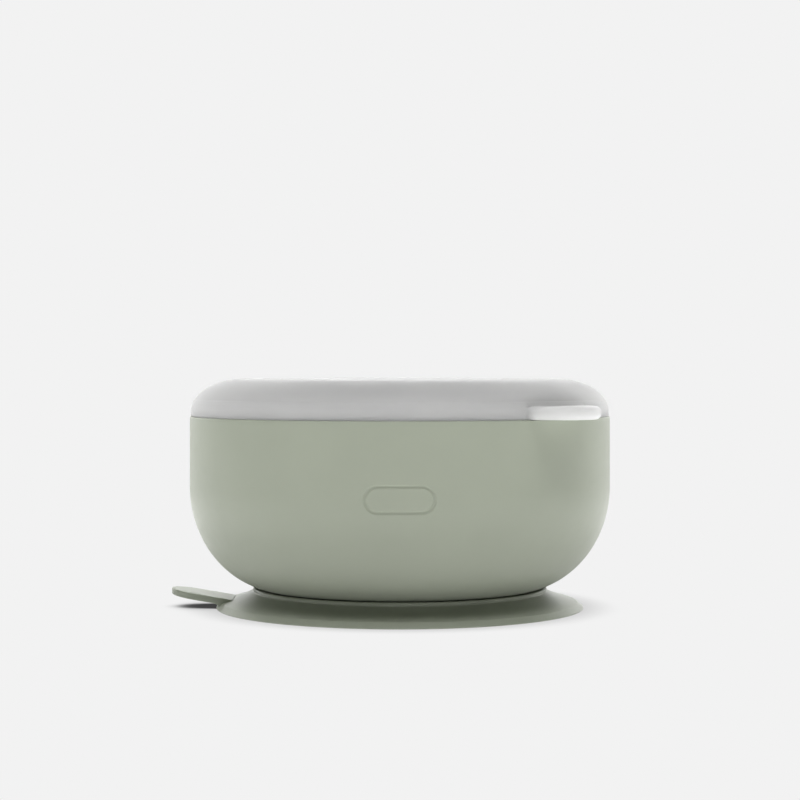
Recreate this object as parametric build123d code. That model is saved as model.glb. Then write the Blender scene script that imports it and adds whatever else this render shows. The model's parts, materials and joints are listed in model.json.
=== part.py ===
from build123d import *

import os
from math import asin, cos, degrees, radians, sin

# Suction bowl for a baby: a soft bowl on a suction cup, closed by a soft lid that plugs into its mouth.
# Millimetres, +Z up. The origin is on the table, on the bowl's axis. The bowl's front faces -Y.
# The two pull tabs bend where they leave their mouldings, so each is cut there into a root and a leaf.

# Driving dimensions.
BOWL_DIAMETER = 127.0
TOTAL_HEIGHT = 69.3
WALL = 3.0
LID_SKIN = 2.0
CUP_DIAMETER = 111.5
CUP_TRAVEL = 1.4
RUNNING_GAP = 0.05

# Bowl: a vertical wall above a quarter ellipse that ends in a flat floor.
BOWL_RADIUS = BOWL_DIAMETER / 2
BOWL_RIM_Z = TOTAL_HEIGHT - 11.45
BOWL_BOTTOM_Z = 5.25
BOWL_CURVE_TOP_Z = 36.8
BOWL_FLAT_RADIUS = 35.7
RIM_ROUND = 0.4

# Foot of the bowl: a short stud with a flange, which the suction cup's hub grips.
STUD_RADIUS = 30.0
STUD_FLANGE = 1.0
STUD_DEPTH = 1.3
FLANGE_THICKNESS = 0.6

# Blank pill-shaped frame pressed into the front of the wall.
BADGE_WIDTH = 20.5
BADGE_HEIGHT = 8.2
BADGE_LINE = 1.1
BADGE_DEPTH = 0.35
BADGE_Z = 36.3

# Suction cup: a thick hub under the bowl, and a thin skirt that spreads to a bevelled lip on the table.
CUP_RADIUS = CUP_DIAMETER / 2
HUB_RADIUS = 44.8
HUB_EDGE_Z = 4.85
HUB_UNDER_Z = CUP_TRAVEL + 0.3
HUB_DOME = 0.6
NECK_RADIUS = 43.6
BEAD_RADIUS = 0.5
BEAD_RING_RADIUS = NECK_RADIUS + 0.4
BEAD_Z = HUB_EDGE_Z + 0.8
LIP_TOP_RADIUS = CUP_RADIUS - 2.1
LIP_TOP_Z = 1.7
SKIRT_MIDDLE = (50.8, 2.4)
LAND_WIDTH = 2.7

# Lid: a rim band that sits on the bowl's rim, a domed shoulder and a slightly crowned top.
LID_RADIUS = BOWL_RADIUS - 0.3
LID_SEAT_GAP = 0.02
LID_EDGE_ROUND = 0.7
SHOULDER_Z = BOWL_RIM_Z + 1.7
SHOULDER_WIDTH = 15.0
TOP_CROWN = 0.3
SHOULDER_HEIGHT = TOTAL_HEIGHT - TOP_CROWN - SHOULDER_Z
BAND_HEIGHT = 5.0
BAND_STEP = 0.15

# Plug of the lid: a ring inside the bowl's mouth with two sealing beads.
PLUG_GAP = 0.3
PLUG_THICKNESS = 2.0
PLUG_DEPTH = 4.8
PLUG_BEAD_RADIUS = 0.5
PLUG_BEAD_DEPTHS = (1.6, 3.4)

# Pull tab of the lid: a thick half disc, at the front right corner.
LID_TAB_DIRECTION = -44.0
LID_TAB_RADIUS = 12.7
LID_TAB_CENTRE = LID_RADIUS - 1.6
LID_TAB_THICKNESS = 3.8
LID_TAB_ROUND = 1.7
LID_HINGE_REACH = BOWL_RADIUS + 2.8
LID_TAB_UP = 45.0
LID_TAB_DOWN = 8.0

# Pull tab of the suction cup: a thin tongue on the left that slopes up off the table.
CUP_TAB_DIRECTION = 180.0
CUP_TAB_WIDTH = 15.2
CUP_TAB_THICKNESS = 1.9
CUP_TAB_ROUND = 0.35
CUP_TAB_SLOPE = 9.7
CUP_TAB_REACH = 69.1
CUP_TAB_ROOT_REACH = 51.5
CUP_HINGE_REACH = CUP_RADIUS + 1.75
CUP_HINGE_Z = 2.87
CUP_TAB_UP = 55.0
CUP_TAB_DOWN = 12.0

# Bends of the tabs: a round knuckle a little thinner than the tab, and spare angle past each end of travel.
KNUCKLE_SHARE = 0.9
SWING_MARGIN = 3.0


def turned(*edges):
    """The solid made by turning a closed outline of (radius, height) edges about the bowl's axis."""
    return revolve(Plane.XZ * make_face(edges), Axis.Z)


def disc(radius, low, high):
    """A solid cylinder on the bowl's axis between two heights."""
    return Pos(0, 0, (low + high) / 2) * Cylinder(radius, high - low)


def bowl_shape(inset, top):
    """The solid that fills the bowl's outer surface when that surface is drawn in by an inset."""
    radius = BOWL_RADIUS - inset
    bottom = BOWL_BOTTOM_Z + inset
    return turned(
        Line((0, bottom), (BOWL_FLAT_RADIUS, bottom)),
        EllipticalCenterArc(
            (BOWL_FLAT_RADIUS, BOWL_CURVE_TOP_Z),
            radius - BOWL_FLAT_RADIUS,
            BOWL_CURVE_TOP_Z - bottom,
            start_angle=270,
            arc_size=90,
        ),
        Line((radius, BOWL_CURVE_TOP_Z), (radius, top)),
        Line((radius, top), (0, top)),
        Line((0, top), (0, bottom)),
    )


def badge():
    """The groove of the blank badge: a pill-shaped line pressed to one depth all along the curved wall."""
    outer = SlotOverall(BADGE_WIDTH, BADGE_HEIGHT)
    inner = SlotOverall(BADGE_WIDTH - 2 * BADGE_LINE, BADGE_HEIGHT - 2 * BADGE_LINE)
    front = Plane((0, 0, BADGE_Z), x_dir=(1, 0, 0), z_dir=(0, -1, 0))
    line = extrude(front * (outer - inner), 2 * BOWL_RADIUS)
    skin = bowl_shape(0, BOWL_RIM_Z) - bowl_shape(BADGE_DEPTH, TOTAL_HEIGHT)
    return line & skin


def make_bowl():
    """The bowl with its rounded rim, its blank badge and the flanged stud under its floor."""
    shell = bowl_shape(0, BOWL_RIM_Z) - bowl_shape(WALL, TOTAL_HEIGHT)
    shell = fillet(shell.edges().group_by(Axis.Z)[-1], RIM_ROUND)
    stud_bottom = BOWL_BOTTOM_Z - STUD_DEPTH
    stud = disc(STUD_RADIUS, stud_bottom, BOWL_BOTTOM_Z + WALL / 2)
    flange = disc(STUD_RADIUS + STUD_FLANGE, stud_bottom, stud_bottom + FLANGE_THICKNESS)
    return shell + stud + flange - badge()


def make_hub(bowl):
    """The centre of the suction cup, moulded round the stud, with a bead ring at the foot of the bowl."""
    outline = (
        Line((0, BEAD_Z + BEAD_RADIUS), (NECK_RADIUS, BEAD_Z + BEAD_RADIUS)),
        Line((NECK_RADIUS, BEAD_Z + BEAD_RADIUS), (NECK_RADIUS, BEAD_Z)),
        Line((NECK_RADIUS, BEAD_Z), (HUB_RADIUS, HUB_EDGE_Z)),
        Line((HUB_RADIUS, HUB_EDGE_Z), (HUB_RADIUS, HUB_UNDER_Z)),
        Line((HUB_RADIUS, HUB_UNDER_Z), (0, HUB_UNDER_Z + HUB_DOME)),
        Line((0, HUB_UNDER_Z + HUB_DOME), (0, BEAD_Z + BEAD_RADIUS)),
    )
    bead = Pos(0, 0, BEAD_Z) * Torus(BEAD_RING_RADIUS, BEAD_RADIUS)
    return turned(*outline) + bead - bowl


def skirt_ring():
    """The thin skirt: hollow above the table, with a flat sealing land under its lip."""
    bore = HUB_RADIUS + RUNNING_GAP
    land_radius = CUP_RADIUS - LAND_WIDTH
    middle = ((bore + land_radius) / 2, HUB_UNDER_Z * 0.42)
    return turned(
        Line((bore, HUB_UNDER_Z), (bore, HUB_EDGE_Z)),
        ThreePointArc((bore, HUB_EDGE_Z), SKIRT_MIDDLE, (LIP_TOP_RADIUS, LIP_TOP_Z)),
        Line((LIP_TOP_RADIUS, LIP_TOP_Z), (CUP_RADIUS, 0)),
        Line((CUP_RADIUS, 0), (land_radius, 0)),
        ThreePointArc((land_radius, 0), middle, (bore, HUB_UNDER_Z)),
    )


def wedge(start, end, size):
    """A wedge about the Y axis between two angles, which run from +X towards +Z."""
    middle = (start + end) / 2
    corners = [(size * cos(radians(a)), size * sin(radians(a))) for a in (start, middle, end)]
    return extrude(Plane.XZ * Polygon((0, 0), *corners, align=None), size, both=True)


def bend(tab, thickness, up, down):
    """Cuts a tab that lies along +X where it bends about the Y axis. Gives its root and its leaf."""
    size = 100.0
    knuckle = KNUCKLE_SHARE * thickness / 2
    ahead = Pos(size / 2, 0, 0) * Box(size, size, size)
    leaf = tab & (ahead + Rot(90, 0, 0) * Cylinder(knuckle, size))
    root = tab - ahead - Rot(90, 0, 0) * Cylinder(knuckle + RUNNING_GAP, size)
    root -= wedge(90, 90 + up + SWING_MARGIN, size)
    root -= wedge(270 - down - SWING_MARGIN, 270, size)
    return root, leaf


def cup_tab():
    """The suction cup's pull tab as its root and its leaf, in place."""
    half = CUP_TAB_WIDTH / 2
    slope = cos(radians(CUP_TAB_SLOPE))
    tip = (CUP_TAB_REACH - CUP_HINGE_REACH) / slope
    tail = (CUP_HINGE_REACH - CUP_TAB_ROOT_REACH) / slope
    plan = Pos(tip - half, 0) * Circle(half)
    plan += Pos((tip - half - tail) / 2, 0) * Rectangle(tip - half + tail, CUP_TAB_WIDTH)
    tongue = extrude(plan, CUP_TAB_THICKNESS / 2, both=True)
    faces = tongue.faces().sort_by(Axis.Z)
    tongue = fillet(faces[0].edges() + faces[-1].edges(), CUP_TAB_ROUND)
    place = Rot(0, 0, CUP_TAB_DIRECTION) * Pos(CUP_HINGE_REACH, 0, CUP_HINGE_Z) * Rot(0, -CUP_TAB_SLOPE, 0)
    return [place * piece for piece in bend(tongue, CUP_TAB_THICKNESS, CUP_TAB_UP, CUP_TAB_DOWN)]


def lid_dome(radius, flat_z, low):
    """The solid under a domed lid surface: its radius below the shoulder, its top's height, and its foot."""
    flat_radius = LID_RADIUS - SHOULDER_WIDTH
    crown_z = flat_z + TOP_CROWN
    crown_radius = (flat_radius**2 + TOP_CROWN**2) / (2 * TOP_CROWN)
    crown_angle = degrees(asin(flat_radius / crown_radius))
    return turned(
        Line((0, low), (radius, low)),
        Line((radius, low), (radius, SHOULDER_Z)),
        EllipticalCenterArc(
            (flat_radius, SHOULDER_Z),
            radius - flat_radius,
            flat_z - SHOULDER_Z,
            start_angle=0,
            arc_size=90,
        ),
        CenterArc((0, crown_z - crown_radius), crown_radius, 90 - crown_angle, arc_size=crown_angle),
        Line((0, crown_z), (0, low)),
    )


def lid_shell():
    """The lid without its tab: band, shoulder and top, and the plug ring with its sealing beads."""
    seat_z = BOWL_RIM_Z + LID_SEAT_GAP
    band_top = BOWL_RIM_Z + BAND_HEIGHT
    flat_z = TOTAL_HEIGHT - TOP_CROWN
    mouth = BOWL_RADIUS - WALL
    plug_radius = mouth - PLUG_GAP
    plug_bottom = BOWL_RIM_Z - PLUG_DEPTH
    band = lid_dome(LID_RADIUS, flat_z, seat_z)
    band = fillet(band.edges().group_by(Axis.Z)[0], LID_EDGE_ROUND)
    shell = band & disc(BOWL_RADIUS, seat_z, band_top)
    shell += lid_dome(LID_RADIUS - BAND_STEP, flat_z, seat_z + LID_EDGE_ROUND)
    shell += disc(plug_radius, plug_bottom, SHOULDER_Z)
    shell -= lid_dome(plug_radius - PLUG_THICKNESS, flat_z - LID_SKIN, plug_bottom)
    for depth in PLUG_BEAD_DEPTHS:
        ring = mouth - RUNNING_GAP - PLUG_BEAD_RADIUS
        shell += Pos(0, 0, BOWL_RIM_Z - depth) * Torus(ring, PLUG_BEAD_RADIUS)
    return shell


def lid_tab():
    """The lid's pull tab as its root and its leaf, in place: a round-edged coin sunk into the lid's band."""
    band_core = LID_RADIUS - LID_EDGE_ROUND - 1
    middle_z = BOWL_RIM_Z + LID_SEAT_GAP + LID_TAB_THICKNESS / 2
    coin = Cylinder(LID_TAB_RADIUS, LID_TAB_THICKNESS)
    coin = fillet(coin.edges().filter_by(GeomType.CIRCLE), LID_TAB_ROUND)
    slab = Pos(LID_TAB_CENTRE, 0) * coin - Cylinder(band_core, 2 * LID_TAB_THICKNESS)
    slab = Pos(-LID_HINGE_REACH, 0, 0) * slab
    place = Rot(0, 0, LID_TAB_DIRECTION) * Pos(LID_HINGE_REACH, 0, middle_z)
    return [place * piece for piece in bend(slab, LID_TAB_THICKNESS, LID_TAB_UP, LID_TAB_DOWN)]


os.makedirs("parts", exist_ok=True)
bowl = make_bowl()
cup_tab_root, cup_tab_leaf = cup_tab()
lid_tab_root, lid_tab_leaf = lid_tab()
parts = {
    "bowl": bowl,
    "suction_hub": make_hub(bowl),
    "suction_skirt": skirt_ring() + cup_tab_root,
    "suction_pull_tab": cup_tab_leaf,
    "lid": lid_shell() + lid_tab_root,
    "lid_pull_tab": lid_tab_leaf,
}
for name, part in parts.items():
    export_step(part, f"parts/{name}.step")
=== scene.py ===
import json
from math import acos, asin, atan2, ceil, cos, degrees, exp, hypot, pi, radians, sin, sqrt, tan

import bmesh
import bpy
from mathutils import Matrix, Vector


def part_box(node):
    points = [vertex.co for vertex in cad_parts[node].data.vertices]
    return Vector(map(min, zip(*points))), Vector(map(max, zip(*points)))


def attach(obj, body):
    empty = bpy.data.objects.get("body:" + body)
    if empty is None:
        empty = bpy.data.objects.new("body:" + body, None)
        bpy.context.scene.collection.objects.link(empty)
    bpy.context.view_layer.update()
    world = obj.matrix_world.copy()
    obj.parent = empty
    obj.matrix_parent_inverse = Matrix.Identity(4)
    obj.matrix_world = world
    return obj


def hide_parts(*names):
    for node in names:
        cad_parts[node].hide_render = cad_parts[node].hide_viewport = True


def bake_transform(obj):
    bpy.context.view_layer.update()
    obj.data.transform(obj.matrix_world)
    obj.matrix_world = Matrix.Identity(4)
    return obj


# Visual model of the suction bowl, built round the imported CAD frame. Metres, +Z up, the bowl's axis on Z.
# Three silicone mouldings are drawn: the bowl, the suction cup with its tongue, and the lid with its tab.

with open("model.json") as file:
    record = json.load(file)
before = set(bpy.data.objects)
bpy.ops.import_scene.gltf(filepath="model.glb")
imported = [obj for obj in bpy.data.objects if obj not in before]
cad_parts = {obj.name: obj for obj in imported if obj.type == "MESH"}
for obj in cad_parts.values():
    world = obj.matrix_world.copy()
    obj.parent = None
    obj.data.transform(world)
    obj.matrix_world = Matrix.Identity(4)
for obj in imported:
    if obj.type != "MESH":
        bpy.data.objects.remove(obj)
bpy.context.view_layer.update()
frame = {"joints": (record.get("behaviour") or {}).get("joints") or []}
joints = {joint["name"]: joint for joint in frame["joints"]}
MM = 0.001

# Largest steps of the meshes: degrees between turned columns, and the spacing of rows across flat areas.
TURN_STEP = 1.25
FLAT_ROWS = 4 * MM


# ---------------------------------------------------------------------------------------------------------
# Sizes, worked out from the frame
# ---------------------------------------------------------------------------------------------------------

bowl_low, bowl_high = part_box("bowl")
lid_low, lid_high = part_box("lid")
hub_low, hub_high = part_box("suction_hub")
_, skirt_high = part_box("suction_skirt")
tongue_low, tongue_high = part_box("suction_pull_tab")
_, tab_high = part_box("lid_pull_tab")

# Bowl
BOWL_R = bowl_high.x
RIM_Z = bowl_high.z
WALL = 3 * MM
STUD_DEPTH = 1.3 * MM
BOWL_BOTTOM_Z = bowl_low.z + STUD_DEPTH
BOWL_FLAT_R = 0.562 * BOWL_R
BOWL_CURVE_TOP_Z = RIM_Z - 21.05 * MM
RIM_ROUND = 0.4 * MM

# Blank badge pressed into the front of the bowl
BADGE_Z = RIM_Z - 21.55 * MM
BADGE_WIDTH = 20.5 * MM
BADGE_HEIGHT = 8.2 * MM
BADGE_LINE = 1.1 * MM
BADGE_DEPTH = 0.35 * MM
BADGE_SOFTNESS = 0.35 * MM
BADGE_GRID = 0.17 * MM

# Suction cup
CUP_R = skirt_high.x
HUB_R = hub_high.x
SKIRT_EDGE_Z = skirt_high.z
HUB_UNDER_Z = hub_low.z
BEAD_R = 0.5 * MM
BEAD_RING_R = HUB_R - 0.8 * MM
BEAD_Z = hub_high.z - BEAD_R
LIP_TOP_R = CUP_R - 2.1 * MM
LIP_TOP_Z = 1.7 * MM
LAND_R = CUP_R - 2.7 * MM
SKIRT_MIDDLE = (50.8 * MM, 2.4 * MM)
HUB_DOME = 0.6 * MM
FOOT_GAP = 0.06 * MM
NECK_R = BEAD_RING_R - 1.1 * MM
SKIRT_TOP = (BEAD_RING_R + 0.35 * MM, SKIRT_EDGE_Z + 0.22 * MM)
LIP_TOP_ROUND = 0.9 * MM
LIP_EDGE_ROUND = 0.12 * MM

# Lid
LID_R = lid_high.y
LID_TOP_Z = lid_high.z
LID_SEAT_Z = RIM_Z + 0.02 * MM
PLUG_LOW_Z = lid_low.z
SHOULDER_Z = RIM_Z + 1.7 * MM
SHOULDER_WIDTH = 15 * MM
CROWN = 0.3 * MM
CREASE_Z = RIM_Z + 5 * MM
CREASE_STEP = 0.12 * MM
LID_SKIN = 2 * MM
LID_EDGE_ROUND = 0.35 * MM
PLUG_R = BOWL_R - WALL - 0.3 * MM
SEAT_R = PLUG_R + 0.2 * MM
PLUG_INNER_R = PLUG_R - 2 * MM
PLUG_BEAD_R = 0.5 * MM
PLUG_BEAD_GAP = 0.05 * MM
PLUG_BEAD_DEPTHS = (1.6 * MM, 3.4 * MM)

# Lid tab, a half disc that grows out of the lid's rim band
tab_hinge = Vector(joints["lid_tab_flex"]["pos_m"])
TAB_ANGLE = atan2(tab_hinge.y, tab_hinge.x)
TAB_R = 12.7 * MM
TAB_CENTRE = LID_R - 1.6 * MM
TAB_TOP_Z = tab_high.z
TAB_ROUND = 1.7 * MM
TAB_CORNER = 1.5 * MM
TAB_ROOT_Z = TAB_TOP_Z + 0.15 * MM
TAB_FADE = 0.28 * MM
BAND_TOP_Z = TAB_ROOT_Z - 0.8 * MM

# Release tongue of the suction cup, which points along -X and slopes up
tongue_hinge = Vector(joints["suction_tab_flex"]["pos_m"])
TONGUE_WIDTH = tongue_high.y - tongue_low.y
TONGUE_THICKNESS = 1.9 * MM
TONGUE_SLOPE = radians(9.7)
TONGUE_TIP = -tongue_low.x
TONGUE_ROOT = 50.3 * MM
TONGUE_EDGE = 0.35 * MM
TONGUE_WEB = 1.6 * MM
TONGUE_WEB_START = CUP_R - 1.4 * MM
TONGUE_FOOT_Z = 0.25 * MM


# ---------------------------------------------------------------------------------------------------------
# Outlines and meshes
# ---------------------------------------------------------------------------------------------------------

def smooth(x):
    """0 below 0, 1 above 1, and an S-curve between."""
    x = min(max(x, 0.0), 1.0)
    return x * x * (3 - 2 * x)


def mix(a, b, t):
    """The point or number a share t of the way from a to b."""
    return a + (b - a) * t


def spoke_at(angle):
    """The unit vector at an angle in radians."""
    return Vector((cos(angle), sin(angle)))


def line(start, end, spacing):
    """Points from start up to but not including end, evenly spaced."""
    start, end = Vector(start), Vector(end)
    count = max(1, ceil((end - start).length / spacing))
    return [start.lerp(end, i / count) for i in range(count)]


def arc(centre, across, up, start, end, count):
    """Points on an ellipse from one angle to another in degrees, up to but not including the last."""
    angles = [radians(mix(start, end, i / count)) for i in range(count)]
    return [Vector((centre[0] + across * cos(a), centre[1] + up * sin(a))) for a in angles]


def make_piece(name, vertices, faces, material, slot):
    """A closed mesh with welded seams, outward faces and smooth shading."""
    mesh = bpy.data.meshes.new(name)
    shape = bmesh.new()
    points = [shape.verts.new(v) for v in vertices]
    for face in faces:
        shape.faces.new([points[i] for i in face])
    bmesh.ops.remove_doubles(shape, verts=shape.verts, dist=1e-7)
    bmesh.ops.recalc_face_normals(shape, faces=shape.faces)
    shape.to_mesh(mesh)
    shape.free()
    mesh.polygons.foreach_set("use_smooth", [True] * len(mesh.polygons))
    mesh.materials.append(material)
    piece = bpy.data.objects.new(name, mesh)
    bpy.context.scene.collection.objects.link(piece)
    return piece


def ring_faces(rings):
    """Numbers the points of a stack of rings and joins them. A ring of one point is a pole."""
    vertices, faces, starts = [], [], []
    for ring in rings:
        starts.append(len(vertices))
        vertices.extend(ring)
    for k in range(len(rings) - 1):
        a, b = starts[k], starts[k + 1]
        na, nb = len(rings[k]), len(rings[k + 1])
        count = max(na, nb)
        for i in range(count):
            j = (i + 1) % count
            corners = [a + i % na, a + j % na, b + j % nb, b + i % nb]
            faces.append(list(dict.fromkeys(corners)))
    return vertices, faces


def turn(profile, angles):
    """Rings made by turning a profile of (radius, height) points to each of the angles."""
    rings = []
    for radius, height in profile:
        if radius < 1e-9:
            rings.append([Vector((0, 0, height))])
        else:
            rings.append([Vector((radius * cos(a), radius * sin(a), height)) for a in angles])
    return rings


def spread(low, high, step):
    """Angles in radians from low up to but not including high, at most a step apart.

    Low, high and the step are in degrees."""
    count = ceil((high - low) / step)
    return [radians(mix(low, high, i / count)) for i in range(count)]


# ---------------------------------------------------------------------------------------------------------
# Shader nodes
# ---------------------------------------------------------------------------------------------------------

def node_input(tree, socket, value):
    """Sets a node's input to a number, or links it to another node's output."""
    if isinstance(value, (int, float)):
        socket.default_value = value
    else:
        tree.links.new(value, socket)


def calculate(tree, operation, *values):
    """The result of one Math node."""
    node = tree.nodes.new("ShaderNodeMath")
    node.operation = operation
    for socket, value in zip(node.inputs, values):
        node_input(tree, socket, value)
    return node.outputs["Value"]


def ramp(tree, value, start, end, low=0.0, high=1.0, shape="SMOOTHSTEP"):
    """Runs from low to high as a value goes from start to end."""
    node = tree.nodes.new("ShaderNodeMapRange")
    node.interpolation_type = shape
    node_input(tree, node.inputs["Value"], value)
    for name, number in (("From Min", start), ("From Max", end), ("To Min", low), ("To Max", high)):
        node.inputs[name].default_value = number
    return node.outputs["Result"]


# ---------------------------------------------------------------------------------------------------------
# Materials
# ---------------------------------------------------------------------------------------------------------

# Scales of the silicone's detail in features per metre, the height of its grain, and its refractive index.
CLOUD_SCALE = 45
SATIN_SCALE = 320
GRAIN_SCALE = 2600
GRAIN_HEIGHT = 0.02 * MM
SILICONE_IOR = 1.41


def noise(tree, coordinate, scale, detail):
    """A noise texture, whose values are mostly between 0.3 and 0.7."""
    texture = tree.nodes.new("ShaderNodeTexNoise")
    texture.inputs["Scale"].default_value = scale
    texture.inputs["Detail"].default_value = detail
    tree.links.new(coordinate, texture.inputs["Vector"])
    return texture.outputs["Fac"]


def stretched(tree, texture, low, high):
    """A noise texture stretched to run between two values."""
    return ramp(tree, texture, 0.3, 0.7, low, high, "LINEAR")


def silicone(name, colour, roughness, depth, scatter, sheen, gloss):
    """Moulded silicone: it scatters light softly and has a fine satin grain.

    It is faintly cloudy, and its edges are rubbed a little paler."""
    material = bpy.data.materials.new(name)
    material.use_nodes = True
    tree = material.node_tree
    surface = tree.nodes["Principled BSDF"]
    place = tree.nodes.new("ShaderNodeTexCoord").outputs["Object"]

    cloud = stretched(tree, noise(tree, place, CLOUD_SCALE, 3), 0.975, 1.02)
    pointiness = tree.nodes.new("ShaderNodeNewGeometry").outputs["Pointiness"]
    edges = ramp(tree, pointiness, 0.5, 0.62, 1.0, 1.05, "LINEAR")
    tint = tree.nodes.new("ShaderNodeVectorMath")
    tint.operation = "SCALE"
    tint.inputs[0].default_value = colour
    tree.links.new(calculate(tree, "MULTIPLY", cloud, edges), tint.inputs["Scale"])
    tree.links.new(tint.outputs["Vector"], surface.inputs["Base Color"])

    rough = stretched(tree, noise(tree, place, SATIN_SCALE, 4), roughness - 0.03, roughness + 0.04)
    tree.links.new(rough, surface.inputs["Roughness"])
    bump = tree.nodes.new("ShaderNodeBump")
    bump.inputs["Strength"].default_value = 0.35
    bump.inputs["Distance"].default_value = GRAIN_HEIGHT
    tree.links.new(noise(tree, place, GRAIN_SCALE, 2), bump.inputs["Height"])
    tree.links.new(bump.outputs["Normal"], surface.inputs["Normal"])

    surface.inputs["IOR"].default_value = SILICONE_IOR
    surface.inputs["Specular IOR Level"].default_value = gloss
    surface.inputs["Subsurface Weight"].default_value = scatter
    surface.inputs["Subsurface Radius"].default_value = (1.0, 1.0, 1.0)
    surface.inputs["Subsurface Scale"].default_value = depth
    surface.inputs["Sheen Weight"].default_value = sheen
    surface.inputs["Sheen Roughness"].default_value = 0.45
    return material


SAGE = silicone(
    "sage_silicone",
    colour=(0.377, 0.408, 0.328),
    roughness=0.48,
    depth=0.6 * MM,
    scatter=0.35,
    sheen=0.08,
    gloss=0.5,
)
MILKY = silicone(
    "milky_silicone",
    colour=(0.555, 0.555, 0.55),
    roughness=0.55,
    depth=12 * MM,
    scatter=1.0,
    sheen=0.0,
    gloss=0.25,
)


# ---------------------------------------------------------------------------------------------------------
# Bowl
# ---------------------------------------------------------------------------------------------------------

def bowl_profile():
    """The bowl's section from the middle of its floor, over the rim and down to the middle of its foot."""
    inner_r = BOWL_R - WALL
    floor_z = BOWL_BOTTOM_Z + WALL
    curve_z = BOWL_CURVE_TOP_Z
    centre = (BOWL_FLAT_R, curve_z)
    inside = (inner_r - BOWL_FLAT_R, curve_z - floor_z)
    outside = (BOWL_R - BOWL_FLAT_R, curve_z - BOWL_BOTTOM_Z)
    badge_top = BADGE_Z + BADGE_HEIGHT / 2 + BADGE_LINE
    badge_low = BADGE_Z - BADGE_HEIGHT / 2 - BADGE_LINE
    badge_turn = -degrees(asin((curve_z - badge_low) / outside[1]))
    badge_rows = ceil((curve_z - badge_low) / BADGE_GRID)
    return (
        line((0, floor_z), (BOWL_FLAT_R, floor_z), FLAT_ROWS)
        + arc(centre, *inside, -90, 0, 40)
        + line((inner_r, curve_z), (inner_r, RIM_Z - RIM_ROUND), 2 * MM)
        + arc((inner_r + RIM_ROUND, RIM_Z - RIM_ROUND), RIM_ROUND, RIM_ROUND, 180, 90, 6)
        + line((inner_r + RIM_ROUND, RIM_Z), (BOWL_R - RIM_ROUND, RIM_Z), 0.6 * MM)
        + arc((BOWL_R - RIM_ROUND, RIM_Z - RIM_ROUND), RIM_ROUND, RIM_ROUND, 90, 0, 6)
        + line((BOWL_R, RIM_Z - RIM_ROUND), (BOWL_R, badge_top), 1.5 * MM)
        + line((BOWL_R, badge_top), (BOWL_R, curve_z), BADGE_GRID)
        + arc(centre, *outside, 0, badge_turn, badge_rows)
        + arc(centre, *outside, badge_turn, -90, 46)
        + line((BOWL_FLAT_R, BOWL_BOTTOM_Z), (0, BOWL_BOTTOM_Z), FLAT_ROWS)
        + [Vector((0, BOWL_BOTTOM_Z))]
    )


def badge_press(along, height):
    """How deep the wall is pressed in at a place on its front: a groove that follows a pill shape."""
    straight = (BADGE_WIDTH - BADGE_HEIGHT) / 2
    beyond = max(abs(along) - straight, 0)
    outside = hypot(beyond, height - BADGE_Z) - BADGE_HEIGHT / 2
    from_edge = BADGE_LINE / 2 - abs(outside + BADGE_LINE / 2)
    return BADGE_DEPTH * smooth(from_edge / BADGE_SOFTNESS)


def build_bowl():
    """The bowl, with a finer mesh where the badge is pressed into its front."""
    front = degrees((BADGE_WIDTH / 2 + BADGE_LINE) / BOWL_R)
    fine = degrees(BADGE_GRID / BOWL_R)
    angles = spread(-90 - front, -90 + front, fine) + spread(-90 + front, 270 - front, TURN_STEP)
    rings = turn(bowl_profile(), angles)
    for ring in rings:
        for point in ring:
            radius = hypot(point.x, point.y)
            near = point.y < 0 and abs(point.x) < BADGE_WIDTH and abs(point.z - BADGE_Z) < BADGE_HEIGHT
            if near and radius > BOWL_R - WALL / 2:
                along = (atan2(point.y, point.x) + pi / 2) * BOWL_R
                scale = 1 - badge_press(along, point.z) / radius
                point.x *= scale
                point.y *= scale
    piece = make_piece("bowl_shell", *ring_faces(rings), SAGE, "bowl_rubber")
    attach(piece, "bowl")
    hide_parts("bowl")


# ---------------------------------------------------------------------------------------------------------
# Suction cup
# ---------------------------------------------------------------------------------------------------------

def arc_through(start, middle, end, count):
    """Points on the circle through three points, from start up to but not including end."""
    (ax, ay), (bx, by), (cx, cy) = start, middle, end
    d = 2 * (ax * (by - cy) + bx * (cy - ay) + cx * (ay - by))
    a2, b2, c2 = ax * ax + ay * ay, bx * bx + by * by, cx * cx + cy * cy
    ux = (a2 * (by - cy) + b2 * (cy - ay) + c2 * (ay - by)) / d
    uy = (a2 * (cx - bx) + b2 * (ax - cx) + c2 * (bx - ax)) / d
    radius = hypot(ax - ux, ay - uy)
    first = degrees(atan2(ay - uy, ax - ux))
    last = degrees(atan2(cy - uy, cx - ux))
    last += 360 * round((first - last) / 360)
    return arc((ux, uy), radius, radius, first, last, count)


def round_corner(before, corner, after, radius, count):
    """Points on the arc that rounds a corner, ends included."""
    corner = Vector(corner)
    back = (Vector(before) - corner).normalized()
    ahead = (Vector(after) - corner).normalized()
    half = acos(max(-1, min(1, back.dot(ahead)))) / 2
    reach = radius / tan(half)
    centre = corner + (back + ahead).normalized() * (radius / sin(half))
    first, last = corner + back * reach, corner + ahead * reach
    points = []
    for i in range(count + 1):
        spoke = (first.lerp(last, i / count) - centre).normalized()
        points.append(centre + spoke * radius)
    return points


def mixed(a, b, t):
    """The point a share t of the way from one (radius, height) pair to another."""
    return Vector(a).lerp(Vector(b), t)


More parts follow.
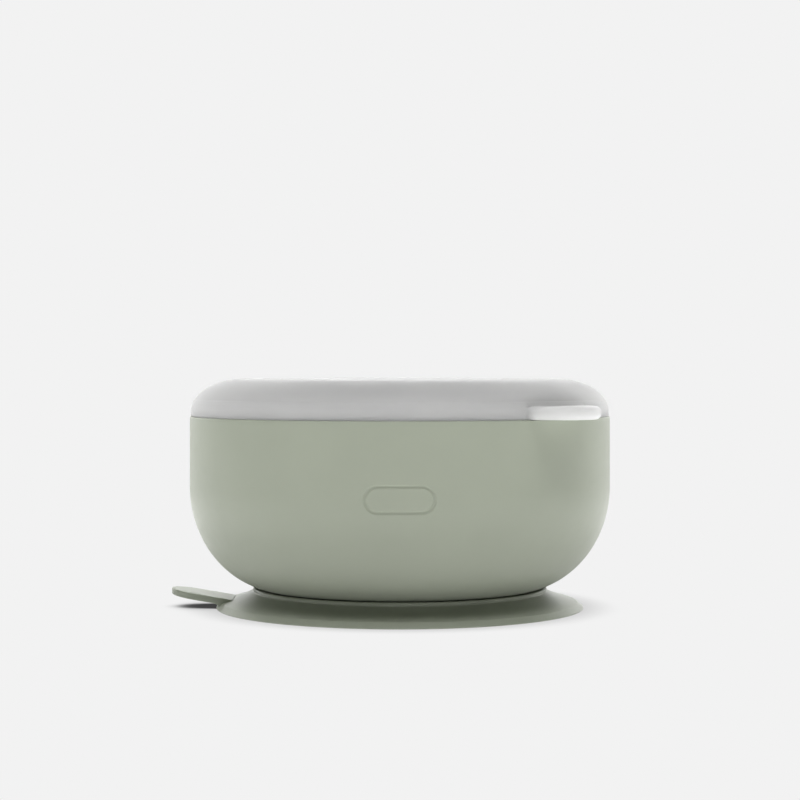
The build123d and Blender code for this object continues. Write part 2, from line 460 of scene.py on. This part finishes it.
def cup_profile():
    """The cup's section from under the bowl, round the bead ring, down the skirt and back under the dome."""
    across = BOWL_R - BOWL_FLAT_R
    height = BOWL_CURVE_TOP_Z - BOWL_BOTTOM_Z
    bead = (BEAD_RING_R, BEAD_Z)
    neck_turn = -90 + degrees(asin((NECK_R - BOWL_FLAT_R) / across))
    lip_top = (LIP_TOP_R, LIP_TOP_Z)
    lip_edge = (CUP_R, 0)
    land = (LAND_R, 0)
    hub_edge = (HUB_R, HUB_UNDER_Z)
    dome_middle = ((HUB_R + LAND_R) / 2, 0.42 * HUB_UNDER_Z)
    return (
        line((0, BOWL_BOTTOM_Z - FOOT_GAP), (BOWL_FLAT_R, BOWL_BOTTOM_Z - FOOT_GAP), FLAT_ROWS)
        + arc((BOWL_FLAT_R, BOWL_CURVE_TOP_Z), across, height + FOOT_GAP, -90, neck_turn, 8)
        + arc(bead, BEAD_R, BEAD_R, 150, -50, 16)
        + arc_through(SKIRT_TOP, SKIRT_MIDDLE, lip_top, 26)
        + round_corner(SKIRT_MIDDLE, lip_top, lip_edge, LIP_TOP_ROUND, 4)
        + line(mixed(lip_top, lip_edge, 0.25), mixed(lip_top, lip_edge, 0.9), 0.3 * MM)
        + round_corner(lip_top, lip_edge, land, LIP_EDGE_ROUND, 4)
        + line(mixed(lip_edge, land, 0.2), land, 0.6 * MM)
        + arc_through(land, dome_middle, hub_edge, 16)
        + line(hub_edge, (0, HUB_UNDER_Z + HUB_DOME), FLAT_ROWS)
        + [Vector((0, HUB_UNDER_Z + HUB_DOME))]
    )


def build_cup():
    """The whole suction cup as one moulding, from the bead under the bowl to the lip on the table."""
    rings = turn(cup_profile(), spread(0, 360, TURN_STEP))
    piece = make_piece("suction_cup", *ring_faces(rings), SAGE, "bowl_rubber")
    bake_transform(piece)
    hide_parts("suction_skirt", "suction_hub")


def tongue_top(reach):
    """Height of the tongue's upper face at a distance from the bowl's axis."""
    hinge_r = -tongue_hinge.x
    middle = tongue_hinge.z + (reach - hinge_r) * tan(TONGUE_SLOPE)
    return middle + TONGUE_THICKNESS / 2 / cos(TONGUE_SLOPE)


def tongue_bottom(reach):
    """Height of its lower face, which curves down near the root to meet the lip of the cup."""
    flat = tongue_top(reach) - TONGUE_THICKNESS / cos(TONGUE_SLOPE)
    if reach >= TONGUE_WEB_START + TONGUE_WEB:
        return flat
    share = max(0.0, (reach - TONGUE_WEB_START) / TONGUE_WEB)
    return mix(TONGUE_FOOT_Z, flat, sqrt(1 - (1 - share) ** 2))


def tongue_columns():
    """Outline of half a tongue from its root to its tip.

    Gives (outline point, outward normal, point on the spine)."""
    half = TONGUE_WIDTH / 2
    end = TONGUE_TIP - half
    columns = []
    for point in line((TONGUE_ROOT, half), (end, half), 0.25 * MM):
        columns.append((point, Vector((0, 1)), Vector((point.x, 0))))
    for i in range(29):
        a = radians(90 - 90 * i / 28)
        spoke = spoke_at(a)
        columns.append((Vector((end, 0)) + spoke * half, spoke, Vector((end + 0.6 * half * cos(a), 0))))
    return columns


def tongue_section(edge, normal, spine):
    """Points from the spine's top, out over the rounded edge and back to the spine's underside.

    Gives (plan point, share from upper to lower face, drop below that face)."""
    inner = edge - normal * TONGUE_EDGE
    section = [(spine.lerp(inner, i / 6), 0.0, 0.0) for i in range(6)]
    for i in range(5):
        a = radians(90 * i / 4)
        section.append((inner + normal * TONGUE_EDGE * sin(a), 0.0, TONGUE_EDGE * (1 - cos(a))))
    mirrored = [(point, 1.0, -drop) for point, _, drop in reversed(section)]
    sides = [(edge, share, TONGUE_EDGE * (1 - 2 * share)) for share in (0.25, 0.5, 0.75)]
    return section + sides + mirrored


def build_tongue():
    """The release tongue: crisp edges, a round end, and a web under its root."""
    half = tongue_columns()
    outline = list(half)
    mirror = Vector((1, -1))
    outline += [(e * mirror, n * mirror, s) for e, n, s in reversed(half[:-1])]
    vertices, faces = [], []
    for edge, normal, spine in outline:
        for point, share, drop in tongue_section(edge, normal, spine):
            height = mix(tongue_top(point.x), tongue_bottom(point.x), share) - drop
            vertices.append(Vector((-point.x, point.y, height)))
    rows = len(vertices) // len(outline)
    for i in range(len(outline) - 1):
        for k in range(rows - 1):
            a, b = i * rows + k, (i + 1) * rows + k
            faces.append([a, a + 1, b + 1, b])
    last = (len(outline) - 1) * rows
    faces.append(list(range(rows)) + list(range(last + rows - 2, last, -1)))
    piece = make_piece("suction_tongue", vertices, faces, SAGE, "bowl_rubber")
    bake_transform(piece)
    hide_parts("suction_pull_tab")


# ---------------------------------------------------------------------------------------------------------
# Lid
# ---------------------------------------------------------------------------------------------------------

LID_FLAT_R = LID_R - SHOULDER_WIDTH
LID_FLAT_Z = LID_TOP_Z - CROWN


def band_radius(height):
    """Radius of the lid's outside at a height on its shoulder."""
    rise = (height - SHOULDER_Z) / (LID_FLAT_Z - SHOULDER_Z)
    return LID_FLAT_R + SHOULDER_WIDTH * sqrt(max(0.0, 1 - rise * rise))


def crown_height(radius):
    """Height of the lid's slightly domed top."""
    sphere = (LID_FLAT_R**2 + CROWN**2) / (2 * CROWN)
    return LID_TOP_Z - sphere + sqrt(sphere**2 - radius**2)


def lid_columns():
    """Plan of the lid's rim as columns: (angle on the lid, edge point, outward normal, share of tab).

    Edge points are in a frame with +X through the tab. The rim is the lid's circle, then a hollow corner,
    the tab's half disc, and a second hollow corner."""
    far_r, near_r = LID_R + TAB_CORNER, TAB_R + TAB_CORNER
    corner_x = (far_r**2 - near_r**2 + TAB_CENTRE**2) / (2 * TAB_CENTRE)
    corner = Vector((corner_x, -sqrt(far_r**2 - corner_x**2)))
    start = degrees(atan2(corner.y, corner.x))
    columns = []
    for a in spread(-start, 360 + start, TURN_STEP):
        spoke = spoke_at(a)
        columns.append([a, spoke * LID_R, spoke, 0.0])
    first = degrees(atan2(-corner.y, -corner.x))
    last = degrees(atan2(-corner.y, TAB_CENTRE - corner.x))
    corner_steps, disc_steps = 10, 64
    hollow = []
    for i in range(corner_steps):
        a = radians(mix(first, last, i / corner_steps))
        spoke = spoke_at(a)
        hollow.append((corner + spoke * TAB_CORNER, -spoke, smooth(i / corner_steps)))
    disc_turn = atan2(corner.y, corner.x - TAB_CENTRE)
    rim = list(hollow)
    for i in range(disc_steps + 1):
        a = mix(disc_turn, -disc_turn, i / disc_steps)
        spoke = spoke_at(a)
        rim.append((Vector((TAB_CENTRE, 0)) + spoke * TAB_R, spoke, 1.0))
    mirror = Vector((1, -1))
    rim += [(e * mirror, n * mirror, w) for e, n, w in reversed(hollow)]
    travel = [0.0]
    for (a, _, _), (b, _, _) in zip(rim, rim[1:]):
        travel.append(travel[-1] + (b - a).length)
    for (edge, normal, share), done in zip(rim[:-1], travel):
        angle = radians(mix(start, -start, done / travel[-1]))
        columns.append([angle, edge, normal, share])
    return columns


def rim_section(angle, edge, normal, share):
    """Section of one rim column from the shoulder out to the edge and back under to the seat.

    Gives (plan point, height) pairs. A share of 0 is the plain band and 1 is the tab."""
    spoke = spoke_at(angle)
    root = spoke * band_radius(TAB_ROOT_Z)
    seat = spoke * SEAT_R
    plain_in = LID_R - band_radius(BAND_TOP_Z)
    points = []

    inset = mix(plain_in, TAB_ROUND, share)
    inner = edge - normal * inset
    inner_z = mix(BAND_TOP_Z, TAB_TOP_Z, share)
    run = 12
    for k in range(run):
        s = (k / run) ** 1.3
        place = root.lerp(inner, s)
        fade = exp(-(place - root).length / TAB_FADE) * (1 - s)
        points.append((place, inner_z + (TAB_ROOT_Z - inner_z) * mix(1 - s, fade, share)))

    turns = 9
    for k in range(turns):
        a = radians(90 * k / turns)
        plain_height = mix(BAND_TOP_Z, SHOULDER_Z, k / turns)
        plain_depth = LID_R - band_radius(plain_height)
        depth = mix(plain_depth, TAB_ROUND * (1 - sin(a)), share)
        height = mix(plain_height, TAB_TOP_Z - TAB_ROUND * (1 - cos(a)), share)
        points.append((edge - normal * depth, height))

    low_round = mix(LID_EDGE_ROUND, TAB_ROUND, share)
    side_top = mix(SHOULDER_Z, TAB_TOP_Z - TAB_ROUND, share)
    side_low = LID_SEAT_Z + low_round
    points.append((edge, side_top))
    for k in range(turns + 1):
        a = radians(90 * k / turns)
        depth = low_round * (1 - cos(a))
        points.append((edge - normal * depth, side_low - low_round * sin(a)))
    under = edge - normal * low_round
    for k in range(1, run + 1):
        points.append((under.lerp(seat, (k / run) ** 0.8), LID_SEAT_Z))
    return points


def lid_upper_profile():
    """Top of the lid, down its shoulder to just below the fine crease over the rim band."""
    upper_width = SHOULDER_WIDTH - CREASE_STEP
    crease_turn = degrees(asin((CREASE_Z - SHOULDER_Z) / (LID_FLAT_Z - SHOULDER_Z)))
    rise = LID_FLAT_Z - SHOULDER_Z
    crown = [Vector((LID_FLAT_R * k / 10, crown_height(LID_FLAT_R * k / 10))) for k in range(10)]
    ledge_in = LID_FLAT_R + upper_width * cos(radians(crease_turn))
    ledge_z = CREASE_Z - 0.02 * MM
    ledge_out = band_radius(CREASE_Z - 0.1 * MM)
    return (
        crown
        + arc((LID_FLAT_R, SHOULDER_Z), upper_width, rise, 90, crease_turn, 34)
        + [Vector((ledge_in, CREASE_Z)), Vector((ledge_in + 0.03 * MM, ledge_z))]
        + [Vector((ledge_out - 0.05 * MM, ledge_z - 0.02 * MM)), Vector((ledge_out, CREASE_Z - 0.1 * MM))]
    )


def lid_lower_profile():
    """Plug ring with its two sealing beads, its inner face, and the underside of the lid's skin."""
    plug_round = 0.6 * MM
    points = [Vector((PLUG_R, LID_SEAT_Z))]
    bead_middle = BOWL_R - WALL - PLUG_BEAD_GAP - PLUG_BEAD_R
    swing = degrees(acos((PLUG_R - bead_middle) / PLUG_BEAD_R))
    for depth in PLUG_BEAD_DEPTHS:
        centre = (bead_middle, RIM_Z - depth)
        points += arc(centre, PLUG_BEAD_R, PLUG_BEAD_R, swing, -swing, 8)
        points.append(Vector((PLUG_R, RIM_Z - depth - PLUG_BEAD_R * sin(radians(swing)))))
    low = PLUG_LOW_Z
    inner_z = LID_FLAT_Z - LID_SKIN
    return (
        points
        + arc((PLUG_R - plug_round, low + plug_round), plug_round, plug_round, 0, -90, 6)
        + line((PLUG_R - plug_round, low), (PLUG_INNER_R + plug_round, low), 0.4 * MM)
        + arc((PLUG_INNER_R + plug_round, low + plug_round), plug_round, plug_round, 270, 180, 6)
        + line((PLUG_INNER_R, low + plug_round), (PLUG_INNER_R, SHOULDER_Z), 1 * MM)
        + arc((LID_FLAT_R, SHOULDER_Z), PLUG_INNER_R - LID_FLAT_R, inner_z - SHOULDER_Z, 0, 90, 24)
        + line((LID_FLAT_R, inner_z), (0, inner_z + CROWN), 5 * MM)
        + [Vector((0, inner_z + CROWN))]
    )


def build_lid():
    """The lid and its tab as one moulding, the tab growing out of the rim band."""
    columns = lid_columns()
    angles = [angle for angle, *_ in columns]
    sections = [rim_section(*column) for column in columns]
    rim = []
    for k in range(len(sections[0])):
        rim.append([Vector((*section[k][0], section[k][1])) for section in sections])
    rings = turn(lid_upper_profile(), angles) + rim + turn(lid_lower_profile(), angles)
    for ring in rings:
        for point in ring:
            x, y = point.x, point.y
            point.x = x * cos(TAB_ANGLE) - y * sin(TAB_ANGLE)
            point.y = x * sin(TAB_ANGLE) + y * cos(TAB_ANGLE)
    piece = make_piece("lid_with_tab", *ring_faces(rings), MILKY, "lid_rubber")
    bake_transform(piece)
    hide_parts("lid", "lid_pull_tab")


# ---------------------------------------------------------------------------------------------------------
# Studio
# ---------------------------------------------------------------------------------------------------------

# Radiance of what the camera sees and of what lights the object. The floor's glow grows outwards, dimmer near
# the object as a painted shadow of it on the floor.
BACKDROP = 0.888
SOFTBOX = 6.4
BACK_WALL = 2.85
GLOW_NEAR = 0.7
GLOW_FAR = 2.4
GLOW_START = 70 * MM
GLOW_FULL = 175 * MM
GLOW_END = 500 * MM
FLOOR_SPAN = 6.0
CONTACT_REACH = 7 * MM
SHADE_REACH = 22 * MM

# Ramps of the floor's two painted shades, a dark contact shade and a wide soft shade: openness where each
# starts and ends, and its darkest and brightest.
PAINTED_CONTACT_SHADE = (0.15, 0.6, 0.09, 1.0)
PAINTED_SOFT_SHADE = (0.35, 0.85, 0.68, 1.0)

# Edges of the studio's lights. WALL_SIDES is how squarely a direction points away from the camera, and
# BOX_BACK how far it does. The others are heights of a direction, where 0 is level and 1 straight up.
WALL_SIDES = (0.45, 0.75)
WALL_TOP = (0.95, 0.25)
BOX_LOW = (0.80, 0.91)
BOX_HIGH = (0.99, 0.94)
BOX_BACK = (0.12, -0.12)

# Camera. The shift is a share of the frame's width.
SENSOR_WIDTH = 36
LENS = 92.25
CAMERA_SHIFT = -0.04375
CAMERA_PLACE = (0.05 * MM, -623.2 * MM, 73.25 * MM)


def camera_switch(tree, seen, lighting):
    """One number for what the camera sees directly and another for the light that reaches the object."""
    path = tree.nodes.new("ShaderNodeLightPath")
    switch = tree.nodes.new("ShaderNodeMix")
    switch.data_type = "FLOAT"
    tree.links.new(path.outputs["Is Camera Ray"], switch.inputs["Factor"])
    node_input(tree, switch.inputs["A"], lighting)
    node_input(tree, switch.inputs["B"], seen)
    return switch.outputs["Result"]


def occlusion(tree, reach):
    """How open a point is to its surroundings within a reach: 1 in the open and 0 when closed in."""
    node = tree.nodes.new("ShaderNodeAmbientOcclusion")
    node.samples = 24
    node.inputs["Distance"].default_value = reach
    return node.outputs["AO"]


def build_floor():
    """A plain pale floor as bright as the backdrop, with painted shade where the object comes close to it.

    The camera sees its glow darkened by a painted contact shade and a painted soft shade, both worked out
    from occlusion. The light that it throws up is weaker near the object's foot, a painted stand-in for the
    object's shadow on the floor."""
    material = bpy.data.materials.new("pale_floor")
    material.use_nodes = True
    tree = material.node_tree
    tree.nodes.remove(tree.nodes["Principled BSDF"])
    # Painted shade: the colour the camera sees is darkened where the object closes the floor in, a contact
    # shadow and a wider soft shadow.
    painted_contact_shade = ramp(tree, occlusion(tree, CONTACT_REACH), *PAINTED_CONTACT_SHADE)
    painted_soft_shade = ramp(tree, occlusion(tree, SHADE_REACH), *PAINTED_SOFT_SHADE)
    seen = calculate(tree, "MULTIPLY", calculate(tree, "MULTIPLY", painted_contact_shade, painted_soft_shade), BACKDROP)

    place = tree.nodes.new("ShaderNodeNewGeometry").outputs["Position"]
    away = tree.nodes.new("ShaderNodeVectorMath")
    away.operation = "LENGTH"
    tree.links.new(place, away.inputs[0])
    distance = away.outputs["Value"]
    # Painted shadow: the glow that lights the object is weaker near its foot, where the object would shade
    # the floor.
    rise = ramp(tree, distance, GLOW_START, GLOW_FULL, GLOW_NEAR, GLOW_FAR, "LINEAR")
    fade = ramp(tree, distance, GLOW_END, 0.9 * GLOW_END)
    glow = tree.nodes.new("ShaderNodeEmission")
    strength = camera_switch(tree, seen, calculate(tree, "MULTIPLY", rise, fade))
    tree.links.new(strength, glow.inputs["Strength"])
    tree.links.new(glow.outputs["Emission"], tree.nodes["Material Output"].inputs["Surface"])

    mesh = bpy.data.meshes.new("floor")
    corners = [(x * FLOOR_SPAN, y * FLOOR_SPAN, 0) for x, y in ((-1, -1), (1, -1), (1, 1), (-1, 1))]
    mesh.from_pydata(corners, [], [(0, 1, 2, 3)])
    mesh.materials.append(material)
    floor = bpy.data.objects.new("floor", mesh)
    bpy.context.scene.collection.objects.link(floor)


def to_camera(tree, vector):
    """How far a world direction points away from the camera: 1 along its line of sight, -1 back at it."""
    turned = tree.nodes.new("ShaderNodeVectorTransform")
    turned.vector_type = "VECTOR"
    turned.convert_from = "WORLD"
    turned.convert_to = "CAMERA"
    if isinstance(vector, tuple):
        turned.inputs["Vector"].default_value = vector
    else:
        tree.links.new(vector, turned.inputs["Vector"])
    split = tree.nodes.new("ShaderNodeSeparateXYZ")
    tree.links.new(turned.outputs["Vector"], split.inputs["Vector"])
    return split.outputs["Z"]


def build_world():
    """The studio: a softbox overhead on the camera's side, a lit wall behind the object, and dark elsewhere.

    The studio stands still while the object turns, so the wall is behind the object in every view."""
    world = bpy.data.worlds.new("studio")
    world.use_nodes = True
    bpy.context.scene.world = world
    tree = world.node_tree
    direction = tree.nodes.new("ShaderNodeTexCoord").outputs["Generated"]
    split = tree.nodes.new("ShaderNodeSeparateXYZ")
    tree.links.new(direction, split.inputs["Vector"])
    height = split.outputs["Z"]

    tilt = to_camera(tree, (0.0, 0.0, 1.0))
    level = calculate(tree, "SUBTRACT", to_camera(tree, direction), calculate(tree, "MULTIPLY", height, tilt))
    flat = calculate(tree, "SQRT", calculate(tree, "SUBTRACT", 1.0, calculate(tree, "POWER", tilt, 2.0)))
    ahead = calculate(tree, "DIVIDE", level, calculate(tree, "MAXIMUM", flat, 0.05))
    across = calculate(tree, "SQRT", calculate(tree, "SUBTRACT", 1.0, calculate(tree, "POWER", height, 2.0)))
    share = calculate(tree, "DIVIDE", ahead, calculate(tree, "MAXIMUM", across, 0.05))

    behind = ramp(tree, share, *WALL_SIDES)
    wall = calculate(tree, "MULTIPLY", behind, ramp(tree, height, *WALL_TOP))
    box = calculate(tree, "MULTIPLY", ramp(tree, height, *BOX_LOW), ramp(tree, height, *BOX_HIGH))
    box = calculate(tree, "MULTIPLY", box, ramp(tree, ahead, *BOX_BACK))
    light = calculate(
        tree,
        "ADD",
        calculate(tree, "MULTIPLY", wall, BACK_WALL),
        calculate(tree, "MULTIPLY", box, SOFTBOX),
    )
    strength = camera_switch(tree, BACKDROP, light)
    background = tree.nodes["Background"]
    background.inputs["Color"].default_value = (1, 1, 1, 1)
    tree.links.new(strength, background.inputs["Strength"])


def build_camera():
    """A long lens level with the top of the lid, looking along +Y, its frame shifted down onto the bowl."""
    data = bpy.data.cameras.new("camera")
    data.sensor_width = SENSOR_WIDTH
    data.lens = LENS
    data.shift_y = CAMERA_SHIFT
    camera = bpy.data.objects.new("camera", data)
    camera.location = CAMERA_PLACE
    camera.rotation_euler = (radians(90), 0, 0)
    bpy.context.scene.collection.objects.link(camera)
    bpy.context.scene.camera = camera


build_bowl()
build_cup()
build_tongue()
build_lid()
build_floor()
build_world()
build_camera()
bpy.context.scene.view_settings.view_transform = "Standard"
